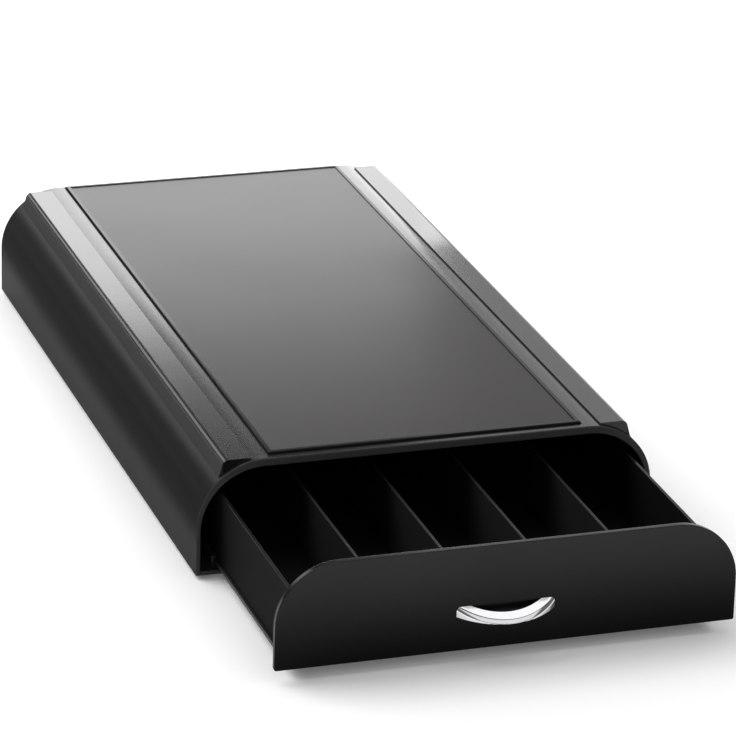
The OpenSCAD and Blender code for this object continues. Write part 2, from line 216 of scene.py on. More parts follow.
# %% Cutting, joining and softening
def finish_with(obj, kind, **settings):
    """Adds one modifier with its settings and applies it."""
    made = obj.modifiers.new(kind.lower(), kind)
    for key, value in settings.items():
        setattr(made, key, value)
    use(obj)
    bpy.ops.object.modifier_apply(modifier=made.name)


def gather(name, objects):
    """Joins several objects into one, without changing their faces."""
    use(objects[0])
    for obj in objects:
        obj.select_set(True)
    if len(objects) > 1:
        bpy.ops.object.join()
    bpy.context.object.name = name
    return bpy.context.object


def combine(obj, tools, how="DIFFERENCE"):
    """Cuts the tools out of obj, or joins them with it, and removes them."""
    tool = gather("tool", tools)
    finish_with(obj, "BOOLEAN", operation=how, solver="EXACT", object=tool)
    bpy.data.objects.remove(tool)
    return obj


def shade(obj, angle=35):
    """Smooth shading that stays flat on the big faces."""
    use(obj)
    bpy.ops.object.shade_smooth_by_angle(angle=math.radians(angle))
    finish_with(obj, "WEIGHTED_NORMAL", keep_sharp=True, weight=50)
    return obj


def soften(obj, radius, steps=3, angle=30):
    """Rounds every sharp edge of obj."""
    finish_with(obj, "BEVEL", width=radius, segments=steps, limit_method="ANGLE",
                angle_limit=math.radians(angle))
    return shade(obj)


def twin(obj, name, shift=(0, 0, 0)):
    """A copy of obj with its own mesh, moved by shift."""
    use(obj)
    bpy.ops.object.duplicate()
    copy = bpy.context.object
    copy.name = name
    copy.location = Vector(shift)
    bpy.ops.object.transform_apply(location=True, rotation=True, scale=True)
    return copy


def mirrored(obj, name):
    """A copy of obj on the other side of the middle plane, with its faces turned outwards again."""
    copy = twin(obj, name)
    bpy.ops.transform.mirror(constraint_axis=(True, False, False), center_override=(0, 0, 0))
    bpy.ops.object.transform_apply(location=True, rotation=True, scale=True)
    edit(copy)
    bpy.ops.mesh.select_all(action="SELECT")
    bpy.ops.mesh.normals_make_consistent(inside=False)
    return shade(done())


def settle(obj, body, node, slot):
    """The piece rides on its body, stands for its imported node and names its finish."""
    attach(obj, body)
    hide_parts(node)
    finished[slot].append(obj)
    print(f"{obj.name}: {len(obj.data.polygons)} faces, stands for {node}")


finished = {m["slot"]: [] for m in frame["record"]["materials"]}

# %% [markdown]
# ## The housing's shell
#
# The shell is one moulded sleeve. Its outline is the arch: straight sides and two quarter rounds of 33 mm.
# A cube with two bevelled edges gives the outside, and two smaller arches are cut out of it: a roomy one
# behind, and a lower one through the front that leaves a lip 4 mm high. That lip is what makes the thin
# sleeve look solid from the front. PAST is how far a cutting piece reaches beyond what it cuts.

# %% Shell: sleeve and lip
LIP_DEPTH = 3 * MM
LIP_HEIGHT = 4 * MM
PAST = 1 * MM

inner_half = HALF_WIDTH - WALL
inner_r = CORNER_R - WALL
shell = arch_block("shell", HALF_WIDTH, UNDERSIDE, TOP, CORNER_R, LIP_Y, BACK_Y)
hollow = arch_block("hollow", inner_half, UNDERSIDE - PAST, TOP - WALL, inner_r,
                    LIP_Y + LIP_DEPTH, BACK_Y + PAST)
mouth = arch_block("mouth", inner_half, UNDERSIDE - PAST, TOP - LIP_HEIGHT, inner_r,
                   LIP_Y - PAST, LIP_Y + LIP_DEPTH + PAST)
combine(shell, [hollow])
combine(shell, [mouth])
print("shell faces:", len(shell.data.polygons))

# %% [markdown]
# The rim at the front and the one at the back get a round edge of their own. They are picked by their place:
# every edge that lies in the front or the back plane, except at the open underside. The pocket for the pad
# comes after that, and its upper edge gets a much smaller round.

# %% Shell: rims and the pad's pocket
RIM_R = 0.7 * MM
PAD_GAP = 0.6 * MM
PAD_RECESS = 0.6 * MM
POCKET_R = 0.15 * MM

edit(shell)
pick("EDGE", lambda p, d: (near(p.y, LIP_Y) or near(p.y, BACK_Y)) and p.z > UNDERSIDE + PAST)
bevel(RIM_R)
done()

pocket_low = Vector((pad_low.x - PAD_GAP, pad_low.y - PAD_GAP, TOP - PAD_RECESS))
pocket_high = Vector((pad_high.x + PAD_GAP, pad_high.y + PAD_GAP, TOP + PAST))
combine(shell, [block("pocket", pocket_low, pocket_high)])
edit(shell)
pick("EDGE", lambda p, d: near(p.z, TOP) and (
    (near(abs(p.x), pocket_high.x) and pocket_low.y - PAST < p.y < pocket_high.y + PAST)
    or ((near(p.y, pocket_low.y) or near(p.y, pocket_high.y)) and abs(p.x) < pocket_high.x)))
bevel(POCKET_R, steps=2)
done()
print("shell faces:", len(shell.data.polygons))

# %% [markdown]
# Inside the sleeve are the parts that nobody sees until the drawer is out: round bosses for the screws along
# both sides and at the back, and two blocks under the ceiling that stop the drawer. Loops make them. They are
# trimmed to an arch half-way into the wall and joined with the shell in one go, and then the holes are bored.

# %% Shell: bosses and stops
BOSS_R = 3.3 * MM
BOSS_HEIGHT = 14 * MM
BOSS_X = 109.7 * MM
FLOOR_T = 2 * MM
BACK_T = 2.4 * MM
SCREW_R = 1.3 * MM
SCREW_SPACE = 0.05 * MM
BORE_DEPTH = 12.3 * MM
BORE_R = SCREW_R + SCREW_SPACE
FIRST_SCREW_Y = 26 * MM
SCREW_PITCH = 116 * MM
UPPER_SCREW_X = 96.05 * MM
UPPER_SCREW_RISE = 48.335 * MM
LOWER_SCREW_RISE = 10 * MM

base_screw_ys = [LIP_Y + FIRST_SCREW_Y + i * SCREW_PITCH for i in range(4)]
back_screw_spots = [(side * x, UNDERSIDE + rise) for side in (-1, 1)
                    for x, rise in ((UPPER_SCREW_X, UPPER_SCREW_RISE), (BOSS_X, LOWER_SCREW_RISE))]

bosses = []
bores = []
boss_low = UNDERSIDE + FLOOR_T
for y in base_screw_ys:
    for x in (-BOSS_X, BOSS_X):
        bosses.append(rod("boss", (x, y, boss_low + BOSS_HEIGHT / 2), BOSS_R, BOSS_HEIGHT))
        bores.append(rod("bore", (x, y, boss_low + BORE_DEPTH / 2 - PAST), BORE_R, BORE_DEPTH))
for x, z in back_screw_spots:
    bosses.append(rod_y("boss", x, z, BOSS_R, BACK_Y - BACK_T - BOSS_HEIGHT, BACK_Y - BACK_T))
    bores.append(rod_y("bore", x, z, BORE_R, BACK_Y - BORE_DEPTH, BACK_Y))

STOP_X = 60 * MM
STOP_WIDTH = 12 * MM
STOP_DEPTH = 3 * MM
STOP_LOW = UNDERSIDE + 43.99 * MM
STOP_Y = LIP_Y + 105.3 * MM
for x in (-STOP_X, STOP_X):
    bosses.append(block("stop", (x - STOP_WIDTH / 2, STOP_Y, STOP_LOW),
                        (x + STOP_WIDTH / 2, STOP_Y + STOP_DEPTH, TOP - WALL + PAST)))
keep_inside = arch_block("inside", HALF_WIDTH - WALL / 2, UNDERSIDE, TOP - WALL / 2, CORNER_R - WALL / 2,
                         LIP_Y, BACK_Y)
bosses = gather("bosses", bosses)
combine(bosses, [keep_inside], "INTERSECT")
combine(shell, [bosses], "UNION")
combine(shell, bores)
shade(shell)
settle(shell, "housing", "housing_shell", "shell_plastic")

# %% [markdown]
# ## The side rails
#
# A squared shoulder fills each round corner of the arch. Seen from the front end it is a crescent: flat on
# top, a ridge with a 3 mm round, a steep side that leans out, and a soft hollow where it meets the shell.
# By hand it is a block whose outer corners are pushed to the outline, with one bevelled edge, and two
# cylinders cut the crescent's inside and the hollow.
#
# A little geometry gives the outline's points first, as pairs of X and Z. `axis` is the centre of the shell's
# corner and `ridge` that of the ridge's round. The hollow's centre is the one point from which a circle of
# 4 mm touches both the steep side and the shell.

# %% Rails: the outline's points
RAIL_INNER_X = HALF_WIDTH - 27 * MM
RIDGE_R = 3 * MM
RIDGE_INSET = 12.7 * MM
SIDE_RUN = (2.2, -8)
RAIL_TOP = TOP + 0.3 * MM
HOLLOW_R = 4 * MM
RAIL_GAP = 0.1 * MM
RAIL_FRONT = LIP_Y + 2.2 * MM
RAIL_REAR = BACK_Y - 6 * MM

axis = Vector((HALF_WIDTH - CORNER_R, TOP - CORNER_R))
ridge = Vector((HALF_WIDTH - RIDGE_INSET - RIDGE_R, RAIL_TOP - RIDGE_R))
run = Vector(SIDE_RUN).normalized()
outward = Vector((-run.y, run.x))
corner = ridge + RIDGE_R * outward
corner -= run * ((RAIL_TOP - corner.y) / -run.y)
start = ridge + (RIDGE_R + HOLLOW_R) * outward - axis
reach = CORNER_R + HOLLOW_R
along = -start.dot(run) - math.sqrt(start.dot(run) ** 2 - start.length_squared + reach ** 2)
hollow_axis = axis + start + run * along
touch_side = hollow_axis - HOLLOW_R * outward
touch_shell = axis + (hollow_axis - axis) * (CORNER_R / reach)
ridge_tangent = (corner - (ridge + RIDGE_R * outward)).length
print("ridge corner", corner / MM, "hollow from", touch_side / MM, "to", touch_shell / MM)

# %% [markdown]
# The block is cut once at the height where the hollow begins. The new corners and the lower ones are then moved
# to their points, the ridge is bevelled, and the cylinders and a flat block take away what is too much.

# %% Rails: the right one
rail = block("rail_right", (RAIL_INNER_X, RAIL_FRONT, touch_shell.y), (corner.x, RAIL_REAR, RAIL_TOP))
edit(rail)
bpy.ops.mesh.select_all(action="SELECT")
bpy.ops.mesh.bisect(plane_co=(0, 0, touch_side.y), plane_no=(0, 0, 1))
for target in (touch_side, touch_shell):
    pick("VERT", lambda p, n: p.x > RAIL_INNER_X + PAST and near(p.z, target.y))
    bpy.ops.transform.translate(value=(target.x - corner.x, 0, 0))
pick("EDGE", lambda p, d: abs(d.y) > 0.9 and near(p.x, corner.x) and near(p.z, RAIL_TOP))
bevel(ridge_tangent, steps=12)
done()
combine(rail, [rod_y("arch", axis.x, axis.y, CORNER_R + RAIL_GAP, LIP_Y, BACK_Y, sides=256)])
combine(rail, [rod_y("hollow", hollow_axis.x, hollow_axis.y, HOLLOW_R, LIP_Y, BACK_Y, sides=96)])
combine(rail, [block("flat", (0, LIP_Y, UNDERSIDE), (axis.x, BACK_Y, TOP + RAIL_GAP))])
print("rail faces:", len(rail.data.polygons))

# %% [markdown]
# The two ends of the rail get a tiny round on their outer outline, and so does the long inner edge. The
# feather edges along the shell stay sharp, because there is no thickness left to round. The left rail is the
# right one's mirror image.

# %% Rails: rounded ends and the mirror image
RAIL_END_R = 0.3 * MM


def on_rail_outline(p):
    """True for the top, the ridge and the steep side, and not for the inside of the crescent."""
    from_axis = math.hypot(p.x - axis.x, p.z - axis.y)
    return from_axis > CORNER_R + 4 * RAIL_GAP and p.z > touch_side.y


edit(rail)
pick("EDGE", lambda p, d: abs(d.y) < 0.1 and (near(p.y, RAIL_FRONT) or near(p.y, RAIL_REAR))
     and on_rail_outline(p) and not near(p.x, RAIL_INNER_X))
bevel(RAIL_END_R, steps=2)
pick("EDGE", lambda p, d: abs(d.y) > 0.9 and near(p.x, RAIL_INNER_X) and near(p.z, RAIL_TOP))
bevel(RAIL_END_R, steps=2)
done()
shade(rail)
left_rail = mirrored(rail, "rail_left")
settle(rail, "housing", "right_side_rail", "rail_plastic")
settle(left_rail, "housing", "left_side_rail", "rail_plastic")

# %% [markdown]
# ## The grip pad
#
# The pad lies in the shell's pocket. It is a thin firm rubber mat with a raised rim about 2 mm wide, and the
# field inside the rim lies a little lower. That small step is why a dark line shows at the back of the field
# and a light one on the rim. A cube, one inset and one extrusion downwards make it.

# %% Pad
PAD_RIM = 2.2 * MM
FIELD_DROP = 0.45 * MM
RIM_ROUND = 0.5 * MM
FIELD_ROUND = 0.12 * MM


def on_border(p, inwards=0.0, gap=0.01 * MM):
    """True on the pad's outline, or on the same outline moved inwards."""
    return (near(abs(p.x), pad_high.x - inwards, gap) or near(p.y, pad_low.y + inwards, gap)
            or near(p.y, pad_high.y - inwards, gap))


pad = block("grip_pad", pad_low, pad_high)
edit(pad)
pick("FACE", lambda p, n: n.z > 0.9)
bpy.ops.mesh.inset(thickness=PAD_RIM)
bpy.ops.mesh.extrude_region_move(TRANSFORM_OT_translate={"value": (0, 0, -FIELD_DROP)})
pick("EDGE", lambda p, d: near(p.z, pad_high.z) and on_border(p))
bevel(RIM_ROUND, steps=4)
pick("EDGE", lambda p, d: abs(d.z) < 0.1 and near(p.z, pad_high.z)
     and on_border(p, PAD_RIM) and not on_border(p, gap=RIM_ROUND * 1.5))
bevel(FIELD_ROUND, steps=2)
done()
shade(pad)
settle(pad, "housing", "top_pad", "pad_rubber")

# %% [markdown]
# ## Back cover, feet and screws
#
# The back is closed by a flat arch with four countersunk screws. It stays in place for years, so its edges
# are rounded only a little. Cones cut the countersinks and thin rods cut the holes. `rod_y` puts a cone's end
# radius in front, so a mirror image swaps the ends and the wide one faces the back.

# %% Back cover
PLATE_GAP = 0.15 * MM
HOLE_SPACE = 0.2 * MM
CSK_HEAD_R = 2.4 * MM
CSK_HEAD_T = 1.2 * MM
CSK_PLAY = 0.01 * MM

inset = WALL + PLATE_GAP
cover = arch_block("back_cover", HALF_WIDTH - inset, UNDERSIDE + FLOOR_T, TOP - inset, CORNER_R - inset,
                   BACK_Y - BACK_T, BACK_Y)
soften(cover, radius=0.3 * MM, steps=2)
cones = [rod_y("countersink", x, z, SCREW_R, BACK_Y - CSK_HEAD_T, BACK_Y + CSK_PLAY, 64, CSK_HEAD_R)
         for x, z in back_screw_spots]
swap_ends = Matrix.Translation((0, 2 * BACK_Y - CSK_HEAD_T, 0)) @ Matrix.Scale(-1, 4, (0, 1, 0))
for cone in cones:
    cone.data.transform(swap_ends)
    cone.data.flip_normals()
holes = [rod_y("hole", x, z, SCREW_R + HOLE_SPACE, BACK_Y - 2 * BACK_T, BACK_Y + PAST)
         for x, z in back_screw_spots]
combine(cover, cones)
combine(cover, holes)
shade(cover)
settle(cover, "housing", "back_panel", "inner_plastic")

# %% [markdown]
# The feet are short rubber discs. An inset of the lower face, pushed up by half a millimetre, makes the hollow
# underneath.

# %% Feet
FOOT_RIM = 2 * MM
FOOT_HOLLOW = 0.5 * MM


def foot(name, node):
    """A rubber disc with rounded rims and a shallow hollow underneath."""
    low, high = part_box(node)
    centre = (low + high) / 2
    disc = rod(name, centre, (high.x - low.x) / 2, high.z - low.z, sides=64)
    edit(disc)
    pick("FACE", lambda p, n: n.z < -0.9)
    bpy.ops.mesh.inset(thickness=FOOT_RIM)
    bpy.ops.mesh.extrude_region_move(TRANSFORM_OT_translate={"value": (0, 0, FOOT_HOLLOW)})
    done()
    soften(disc, radius=0.25 * MM, steps=3)
    settle(disc, "housing", node, "foot_rubber")


for corner_name in ("front_left", "front_right", "rear_left", "rear_right"):
    foot("rubber_foot_" + corner_name, "foot_" + corner_name)

# %% [markdown]
# A screw is worth modelling once: a head with a cross recess, and a plain shank that hides in the plastic. The
# countersunk head is a cone, and the flanged one has a rounded dome. Two thin blocks cut the cross. Each copy
# gets its own mesh and is then turned to its place.

# %% Screws: the patterns
CROSS_LENGTH = 2.8 * MM
CROSS_WIDTH = 0.6 * MM
CROSS_DEPTH = 0.8 * MM
CSK_LENGTH = 12 * MM
SCREW_PLAY = 0.02 * MM
SHANK_R = SCREW_R - SCREW_PLAY


def cross_recess(face_z):
    """Two blocks that cut a cross into a head whose outer face is at face_z, looking down."""
    half = CROSS_LENGTH / 2
    thin = CROSS_WIDTH / 2
    return [block("cross", (-half, -thin, face_z - PAST), (half, thin, face_z + CROSS_DEPTH)),
            block("cross", (-thin, -half, face_z - PAST), (thin, half, face_z + CROSS_DEPTH))]


def countersunk_screw(length):
    """Its head's face is at z = 0 and its shank points up."""
    shank_low = CSK_HEAD_T / 2
    head = rod("head", (0, 0, CSK_HEAD_T / 2), CSK_HEAD_R - SCREW_PLAY, CSK_HEAD_T, end_radius=SCREW_R)
    shank = rod("shank", (0, 0, (length + shank_low) / 2), SHANK_R, length - shank_low, sides=32)
    combine(head, [shank], "UNION")
    for tool in cross_recess(0):
        combine(head, [tool])
    return head


def flanged_screw(flange_r, head_r, height, length):
    """Its flange's underside is at z = 0, its domed head lies below that and its shank points up."""
    flange_t = 0.45 * height
    head = rod("head", (0, 0, -flange_t / 2), flange_r, flange_t, sides=64)
    edit(head)
    pick("FACE", lambda p, n: n.z < -0.9)
    bpy.ops.mesh.inset(thickness=flange_r - head_r)
    bpy.ops.mesh.extrude_region_move(TRANSFORM_OT_translate={"value": (0, 0, flange_t - height)})
    bevel(0.35 * height, steps=4)
    done()
    shank = rod("shank", (0, 0, length / 2 - PAST / 4), SHANK_R, length + PAST / 2, sides=32)
    combine(head, [shank], "UNION")
    for tool in cross_recess(-height):
        combine(head, [tool])
    return head


def screws(name, pattern, spots, turn):
    """Copies of the pattern screw, turned by the matrix and moved to each spot, as one object."""
    copies = []
    for spot in spots:
        copy = twin(pattern, name)
        copy.data.transform(Matrix.Translation(spot) @ turn)
        copies.append(copy)
    bpy.data.objects.remove(pattern)
    return shade(gather(name, copies))


# %% [markdown]
# Eight screws go up through the base plate, and four go forward through the back cover.

# %% Screws of the base and the back
facing_down = Matrix.Identity(4)
facing_back = Matrix.Rotation(math.pi / 2, 4, "X")
base = screws("base_cover_screws", countersunk_screw(CSK_LENGTH),
              [(x, y, UNDERSIDE) for x in (-BOSS_X, BOSS_X) for y in base_screw_ys], facing_down)
settle(base, "housing", "base_screws", "screw_steel")
back = screws("back_cover_screws", countersunk_screw(CSK_LENGTH),
              [(x, BACK_Y, z) for x, z in back_screw_spots], facing_back)
settle(back, "housing", "back_screws", "screw_steel")

# %% [markdown]
# ## The drawer's tray
#
# The tray is a shallow box. A cube is inset on top by the wall's thickness, and the inner face is pushed
# down to the floor. Its upright inner corners are rounded by a millimetre and all other edges by less.

# %% Tray: box
TRAY_WALL = 1.8 * MM
TRAY_FLOOR = 1.8 * MM
TRAY_TOP = UNDERSIDE + 40.49 * MM
TRAY_CORNER_R = 1 * MM
tray_inside_z = tray_low.z + TRAY_FLOOR

tray = block("tray", tray_low, (tray_high.x, tray_high.y, TRAY_TOP))
edit(tray)
pick("FACE", lambda p, n: n.z > 0.9)
bpy.ops.mesh.inset(thickness=TRAY_WALL)
bpy.ops.mesh.extrude_region_move(TRANSFORM_OT_translate={"value": (0, 0, tray_inside_z - TRAY_TOP)})
pick("EDGE", lambda p, d: abs(d.z) > 0.9 and abs(p.x) < tray_high.x - TRAY_WALL / 2)
bevel(TRAY_CORNER_R, steps=4)
done()
soften(tray, radius=0.35 * MM, steps=3)
print("tray faces:", len(tray.data.polygons))

# %% [markdown]
# Ribs beside each divider's ends make its slots, and two tabs on the back wall meet the stops under the
# ceiling when the drawer is fully out. All of them reach a little into the walls, so that the Boolean joins
# them well. Four holes in the front wall are for the front panel's bosses.

# %% Tray: slots for the dividers, tabs for the stops and holes
RIB = 1.5 * MM
RIB_DROP = 4 * MM
SLOT_GAP = 0.15 * MM
WELD = 0.5 * MM
FRONT_SCREW_RISE = 16 * MM
FRONT_BOSS_R = 3.2 * MM

divider_boxes = [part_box(f"divider_{i}") for i in range(1, 5)]
divider_low, divider_high = divider_boxes[0]
divider_t = divider_high.x - divider_low.x
rib_top = divider_high.z - RIB_DROP
inner_front = tray_low.y + TRAY_WALL
inner_back = tray_high.y - TRAY_WALL

parts = []
for low, high in divider_boxes:
    middle = (low.x + high.x) / 2
    for side in (-1, 1):
        x = middle + side * (divider_t / 2 + SLOT_GAP + RIB / 2)
        for y0, y1 in ((inner_front - WELD, inner_front + RIB), (inner_back - RIB, inner_back + WELD)):
            parts.append(block("rib", (x - RIB / 2, y0, tray_inside_z - WELD), (x + RIB / 2, y1, rib_top)))
for x in (-STOP_X, STOP_X):
    parts.append(block("tab", (x - STOP_WIDTH / 2, inner_back, TRAY_TOP - 2 * WELD),
                       (x + STOP_WIDTH / 2, tray_high.y, tray_high.z)))
parts = soften(gather("ribs", parts), radius=0.25 * MM, steps=2)
combine(tray, [parts], "UNION")

lane_pitch = divider_boxes[1][0].x - divider_boxes[0][0].x
front_screw_z = tray_inside_z + FRONT_SCREW_RISE
front_screw_xs = [lane * lane_pitch for lane in (-2, -1, 1, 2)]
combine(tray, [rod_y("hole", x, front_screw_z, FRONT_BOSS_R + SCREW_SPACE,
                     tray_low.y - PAST, inner_front + PAST / 2) for x in front_screw_xs])
shade(tray)
settle(tray, "drawer", "drawer_tray", "tray_plastic")

# %% [markdown]
# ## Dividers and glide strips
#
# A divider is a thin strip that slides down between its ribs. It is made once, with all its edges rounded,
# and copied to the other three places.

# %% Dividers
divider = soften(block("divider_strip_1", divider_low, divider_high), radius=0.4 * MM, steps=3)
strips = [divider] + [twin(divider, f"divider_strip_{i + 1}", (i * lane_pitch, 0, 0)) for i in (1, 2, 3)]
for i, strip in enumerate(strips):
    shade(strip)
    settle(strip, "drawer", f"divider_{i + 1}", "divider_plastic")

# %% [markdown]
# The glide strips are the thin ledges along the tray's lower edges that run in the housing's channels. Each is
# a flat strip that is cut lengthwise at the tray's side, and its outer part is pushed up.

# %% Glide strips
GLIDE_T = 1 * MM
glide_low, glide_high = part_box("right_glide")
glide = block("glide_right", glide_low, (glide_high.x, glide_high.y, glide_low.z + GLIDE_T))
edit(glide)
bpy.ops.mesh.select_all(action="SELECT")
bpy.ops.mesh.bisect(plane_co=(tray_high.x, 0, 0), plane_no=(1, 0, 0))
pick("FACE", lambda p, n: n.z > 0.9 and p.x > tray_high.x)
bpy.ops.mesh.extrude_region_move(TRANSFORM_OT_translate={"value": (0, 0, glide_high.z - glide_low.z - GLIDE_T)})
done()
soften(glide, radius=0.2 * MM, steps=2)
left_glide = mirrored(glide, "glide_left")
settle(glide, "drawer", "right_glide", "runner_plastic")
settle(left_glide, "drawer", "left_glide", "runner_plastic")

# %% [markdown]
# ## The front panel
#
# The panel is the housing's arch again, a little smaller all round. Its lower corners have a radius of
# about a millimetre. Four short bosses on its back reach through the tray's front wall, and a flanged screw
# in each of them holds the two together.

# %% Front panel
PANEL_T = 3 * MM
PANEL_R = 30.1 * MM
PANEL_LOWER_R = 1 * MM

panel_back = panel_low.y + PANEL_T
panel = arch_block("front_panel", panel_high.x, panel_low.z, panel_high.z, PANEL_R,
                   panel_low.y, panel_back, steps=40)
edit(panel)
pick("EDGE", lambda p, d: abs(d.y) > 0.9 and near(p.z, panel_low.z))
bevel(PANEL_LOWER_R, steps=5)
done()
soften(panel, radius=0.45 * MM, steps=4)
combine(panel, [rod_y("boss", x, front_screw_z, FRONT_BOSS_R, panel_back - PAST, panel_high.y)
                for x in front_screw_xs], "UNION")
shade(panel)
settle(panel, "drawer", "drawer_front", "front_plastic")

front_pattern = flanged_screw(flange_r=4.4 * MM, head_r=2.9 * MM, height=1.4 * MM, length=3.5 * MM)
front = screws("front_panel_screws", front_pattern,
               [(x, inner_front, front_screw_z) for x in front_screw_xs], facing_back)
settle(front, "drawer", "front_screws", "screw_steel")

# %% [markdown]
# ## The handle
#
# The pull is a drooping bow of chrome-plated metal. Seen from above it is a crescent between two circles.
# Its flat upper face falls steeply towards the front, so it mirrors the bright ceiling along its whole
# length, and its nose is rounded. Each circle follows from how wide the bow is at the panel and how far it
# stands off.

# %% Handle: the two circles
BOW_FOOT_WIDTH = 6.9 * MM
BOW_GAP = 4.6 * MM

bow_x = (handle_low.x + handle_high.x) / 2
bow_half = (handle_high.x - handle_low.x) / 2
bow_reach = panel_low.y - handle_low.y


def circle_through(half_chord, rise):
    """The radius of the circle whose chord and rise are given."""
    return (half_chord ** 2 + rise ** 2) / (2 * rise)


outer_bow_r = circle_through(bow_half, bow_reach)
inner_bow_r = circle_through(bow_half - BOW_FOOT_WIDTH, BOW_GAP)
print("radii", round(outer_bow_r / MM, 2), "and", round(inner_bow_r / MM, 2), "mm")

# %% [markdown]
# A tall cylinder is sliced by the sloping top plane, and the whole rim of that cut gets the nose's round. Then
# the inner cylinder is cut out, and two more slices make the feet flat and the lower face. Last, the edges that
# are still sharp are rounded by 0.3 mm.

# %% Handle: sloping faces, flat feet and rounded edges
BOW_FOOT_HEIGHT = 5 * MM
NOSE_R = 2 * MM
BOW_EDGE_R = 0.3 * MM
TOP_SLOPE = math.radians(30.5)
BOTTOM_SLOPE = math.radians(11)


def slice_off(obj, place, direction):
    """Cuts away what lies beyond a plane and closes the cut."""
    edit(obj)
    bpy.ops.mesh.select_all(action="SELECT")
    bpy.ops.mesh.bisect(plane_co=place, plane_no=direction, clear_outer=True, use_fill=True)
    done()


foot_top = Vector((bow_x, panel_low.y, handle_high.z))
foot_bottom = foot_top - Vector((0, 0, BOW_FOOT_HEIGHT))
top_tilt = Vector((0, -math.sin(TOP_SLOPE), math.cos(TOP_SLOPE)))
outer_centre = foot_top + Vector((0, outer_bow_r - bow_reach, 0))
inner_centre = foot_top + Vector((0, inner_bow_r - BOW_GAP, 0))
bow = rod("bow_handle", outer_centre, outer_bow_r, 4 * outer_bow_r, sides=288)
slice_off(bow, foot_top, top_tilt)
edit(bow)
pick("EDGE", lambda p, d: near((p - foot_top).dot(top_tilt), 0))
bevel(NOSE_R, steps=10)
done()
combine(bow, [rod("inside", inner_centre, inner_bow_r, 5 * outer_bow_r, sides=288)])
slice_off(bow, foot_top, (0, 1, 0))
slice_off(bow, foot_bottom, (0, math.sin(BOTTOM_SLOPE), -math.cos(BOTTOM_SLOPE)))
finish_with(bow, "BEVEL", width=BOW_EDGE_R, segments=3, limit_method="ANGLE", angle_limit=math.radians(40))
shade(bow, angle=50)
print("bow faces:", len(bow.data.polygons))
spread = [v.co for v in bow.data.vertices]
print("bow spans", round(min(c.x for c in spread) / MM, 2), round(max(c.x for c in spread) / MM, 2),
      "reaches", round(min(c.y for c in spread) / MM, 2))
settle(bow, "drawer", "handle", "handle_chrome")

# %% [markdown]
# ## Finishes
#
# Satin black plastic has almost no colour of its own. What the eye reads as its surface is how it mirrors
# the room: how blurred that is, and how evenly. So each finish below varies its roughness slowly, as a
# moulding does, and has a fine grain as bump. Sums on sockets are written as plain Python: `Signal` wraps a
# socket, and `Finish` holds the material with its nodes.

# %% Shader sums
class Signal:
    """A value that changes over a surface. An expression on it adds the Math nodes to its finish."""

    def __init__(self, finish, socket):
        self.finish = finish
        self.socket = socket

    def math(self, operation, first, second):
        made = self.finish.node("ShaderNodeMath", {"operation": operation}, {0: first, 1: second})
        return Signal(self.finish, made.outputs[0])

    def __add__(self, other):
        return self.math("ADD", self, other)

    def __sub__(self, other):
        return self.math("SUBTRACT", self, other)

    def __rsub__(self, other):
        return self.math("SUBTRACT", other, self)

    def __mul__(self, other):
        return self.math("MULTIPLY", self, other)

    def above(self, limit):
        return self.math("GREATER_THAN", self, limit)

    def largest(self, other):
        return self.math("MAXIMUM", self, other)

    def ramp(self, low, high):
        """0 below low, 1 above high, and a soft step between them."""
        made = self.finish.node("ShaderNodeMapRange", {"interpolation_type": "SMOOTHSTEP"},
                                {0: self, 1: low, 2: high})
        return Signal(self.finish, made.outputs[0])

    def size(self):
        """The value without its sign."""
        return self.largest(self * -1)


class Finish:
    """A material around one Principled shader."""

    def __init__(self, name, **constants):
        self.material = bpy.data.materials.new(name)
        self.material.use_nodes = True
        self.tree = self.material.node_tree
        self.tree.nodes.clear()
        self.shader = self.node("ShaderNodeBsdfPrincipled", {}, constants)
        self.node("ShaderNodeOutputMaterial", {}, {"Surface": self.shader.outputs[0]})
        self.place = self.node("ShaderNodeTexCoord", {}, {}).outputs["Object"]

    def node(self, kind, settings, inputs):
        """Adds a node. Each input is a number, a colour, a socket or a Signal."""
        made = self.tree.nodes.new(kind)
        for key, value in settings.items():
            setattr(made, key, value)
        for key, value in inputs.items():
            socket = made.inputs[key.replace("_", " ") if isinstance(key, str) else key]
            value = value.socket if isinstance(value, Signal) else value
            if isinstance(value, bpy.types.NodeSocket):
                self.tree.links.new(value, socket)
            else:
                socket.default_value = value
        return made

    def noise(self, size, detail):
        """Cloudy noise with patches of about this size, between 0 and 1."""
        made = self.node("ShaderNodeTexNoise", {}, {"Vector": self.place, "Scale": 1 / size, "Detail": detail})
        return Signal(self, made.outputs[0])

    def cells(self, size):
        """The distance to the nearest point of a scatter, which makes pebbles of about this size."""
        made = self.node("ShaderNodeTexVoronoi", {}, {"Vector": self.place, "Scale": 1 / size})
        return Signal(self, made.outputs[0])

    def spot(self, axis_name):
        """The X, Y or Z place on the piece, in metres."""
        return Signal(self, self.node("ShaderNodeSeparateXYZ", {}, {0: self.place}).outputs[axis_name])

    def drive(self, socket, signal):
        """Lets the signal set one of the shader's inputs."""
        self.tree.links.new(signal.socket, self.shader.inputs[socket])

    def colour(self, first, second, factor):
        """The first colour where the factor is 0 and the second where it is 1."""
        made = self.node("ShaderNodeMix", {"data_type": "RGBA"}, {0: factor, 6: (*first, 1), 7: (*second, 1)})
        self.tree.links.new(made.outputs[2], self.shader.inputs["Base Color"])

    def bump(self, height):
        """Relief from a signal whose values are heights in metres."""
        made = self.node("ShaderNodeBump", {}, {"Height": height, "Distance": 1.0, "Strength": 1.0})
        self.tree.links.new(made.outputs[0], self.shader.inputs["Normal"])


